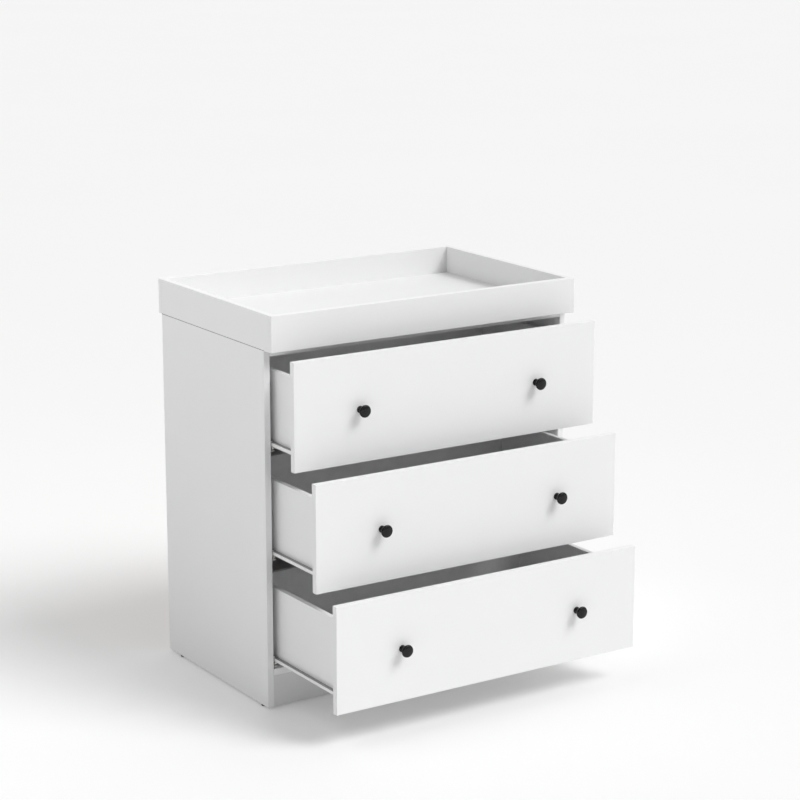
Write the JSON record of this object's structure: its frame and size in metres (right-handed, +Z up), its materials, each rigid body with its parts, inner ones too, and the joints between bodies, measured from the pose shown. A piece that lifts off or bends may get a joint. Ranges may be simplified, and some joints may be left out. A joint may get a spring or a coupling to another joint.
{
  "type": "changing table",
  "caption": "White changing table: a cabinet of drawers on roller runners with black mushroom knobs, and a shallow walled tray on top for the changing mat.",
  "frame": {"origin": "on the floor, under the middle of the outline with the drawers drawn out as at rest", "axes": "+Z up, +X to the right seen from the front, drawers open towards -Y"},
  "size_m": [0.8, 0.788, 0.892],
  "materials": {
    "white_board": "white melamine foil on chipboard, satin, edges banded",
    "drawer_lining": "thin hardboard with a pale linen-look foil inside the drawer",
    "hardboard": "bare hardboard, smooth brown face",
    "black_knob": "black lacquered metal, satin to gloss",
    "zinc_steel": "bright zinc plate",
    "coated_steel": "white epoxy coat on folded steel sheet",
    "nylon": "moulded nylon, satin",
    "glide_plastic": "dark moulded plastic glide with its nail"
  },
  "bodies": {
    "cabinet": {"left_side_panel": "white_board", "right_side_panel": "white_board", "top_panel": "white_board", "base_panel": "white_board", "plinth_board": "white_board", "rear_plinth_board": "white_board", "back_panel": "hardboard", "glides": "glide_plastic", "cam_locks": "zinc_steel", "cam_bolts": "zinc_steel", "wall_bracket": "zinc_steel", "wall_bracket_screws": "zinc_steel", "tray_front_wall": "white_board", "tray_back_wall": "white_board", "tray_left_wall": "white_board", "tray_right_wall": "white_board", "tray_floor": "white_board", "tray_screws": "zinc_steel", "lower_left_cabinet_runner": "coated_steel", "lower_right_cabinet_runner": "coated_steel", "middle_left_cabinet_runner": "coated_steel", "middle_right_cabinet_runner": "coated_steel", "upper_left_cabinet_runner": "coated_steel", "upper_right_cabinet_runner": "coated_steel"},
    "lower_drawer": {"lower_drawer_front": "white_board", "lower_left_drawer_side": "white_board", "lower_right_drawer_side": "white_board", "lower_drawer_back": "white_board", "lower_drawer_bottom": "drawer_lining", "lower_left_knob": "black_knob", "lower_right_knob": "black_knob", "lower_knob_screws": "zinc_steel", "lower_left_drawer_runner": "coated_steel", "lower_right_drawer_runner": "coated_steel"},
    "middle_drawer": {"middle_drawer_front": "white_board", "middle_left_drawer_side": "white_board", "middle_right_drawer_side": "white_board", "middle_drawer_back": "white_board", "middle_drawer_bottom": "drawer_lining", "middle_left_knob": "black_knob", "middle_right_knob": "black_knob", "middle_knob_screws": "zinc_steel", "middle_left_drawer_runner": "coated_steel", "middle_right_drawer_runner": "coated_steel"},
    "upper_drawer": {"upper_drawer_front": "white_board", "upper_left_drawer_side": "white_board", "upper_right_drawer_side": "white_board", "upper_drawer_back": "white_board", "upper_drawer_bottom": "drawer_lining", "upper_left_knob": "black_knob", "upper_right_knob": "black_knob", "upper_knob_screws": "zinc_steel", "upper_left_drawer_runner": "coated_steel", "upper_right_drawer_runner": "coated_steel"},
    "lower_front_roller_pair": {"lower_front_rollers": "nylon"},
    "lower_rear_roller_pair": {"lower_rear_rollers": "nylon"},
    "middle_front_roller_pair": {"middle_front_rollers": "nylon"},
    "middle_rear_roller_pair": {"middle_rear_rollers": "nylon"},
    "upper_front_roller_pair": {"upper_front_rollers": "nylon"},
    "upper_rear_roller_pair": {"upper_rear_rollers": "nylon"}
  },
  "joints": [
    {"name": "lower_drawer_slide", "type": "slide", "parent": "cabinet", "child": "lower_drawer", "axis": [0, -1, 0], "range_m": [-0.2665, 0.042]},
    {"name": "lower_front_roller_spin", "type": "hinge", "parent": "cabinet", "child": "lower_front_roller_pair", "pos_m": [0, -0.074, 0.10675], "axis": [1, 0, 0], "range_deg": [-1799, 286]},
    {"name": "lower_rear_roller_spin", "type": "hinge", "parent": "lower_drawer", "child": "lower_rear_roller_pair", "pos_m": [0, 0.026, 0.10605], "axis": [1, 0, 0], "range_deg": [-1799, 286]},
    {"name": "middle_drawer_slide", "type": "slide", "parent": "cabinet", "child": "middle_drawer", "axis": [0, -1, 0], "range_m": [-0.1865, 0.122]},
    {"name": "middle_front_roller_spin", "type": "hinge", "parent": "cabinet", "child": "middle_front_roller_pair", "pos_m": [0, -0.074, 0.35175], "axis": [1, 0, 0], "range_deg": [-1260, 825]},
    {"name": "middle_rear_roller_spin", "type": "hinge", "parent": "middle_drawer", "child": "middle_rear_roller_pair", "pos_m": [0, 0.106, 0.35105], "axis": [1, 0, 0], "range_deg": [-1260, 825]},
    {"name": "upper_drawer_slide", "type": "slide", "parent": "cabinet", "child": "upper_drawer", "axis": [0, -1, 0], "range_m": [-0.1015, 0.207]},
    {"name": "upper_front_roller_spin", "type": "hinge", "parent": "cabinet", "child": "upper_front_roller_pair", "pos_m": [0, -0.074, 0.59675], "axis": [1, 0, 0], "range_deg": [-687, 1398]},
    {"name": "upper_rear_roller_spin", "type": "hinge", "parent": "upper_drawer", "child": "upper_rear_roller_pair", "pos_m": [0, 0.191, 0.59605], "axis": [1, 0, 0], "range_deg": [-687, 1398]}
  ],
  "couplings": [
    {"joint": "lower_front_roller_spin", "follows": "lower_drawer_slide", "rad_per_m": 117.65},
    {"joint": "lower_rear_roller_spin", "follows": "lower_drawer_slide", "rad_per_m": 117.65},
    {"joint": "middle_front_roller_spin", "follows": "middle_drawer_slide", "rad_per_m": 117.65},
    {"joint": "middle_rear_roller_spin", "follows": "middle_drawer_slide", "rad_per_m": 117.65},
    {"joint": "upper_front_roller_spin", "follows": "upper_drawer_slide", "rad_per_m": 117.65},
    {"joint": "upper_rear_roller_spin", "follows": "upper_drawer_slide", "rad_per_m": 117.65}
  ]
}
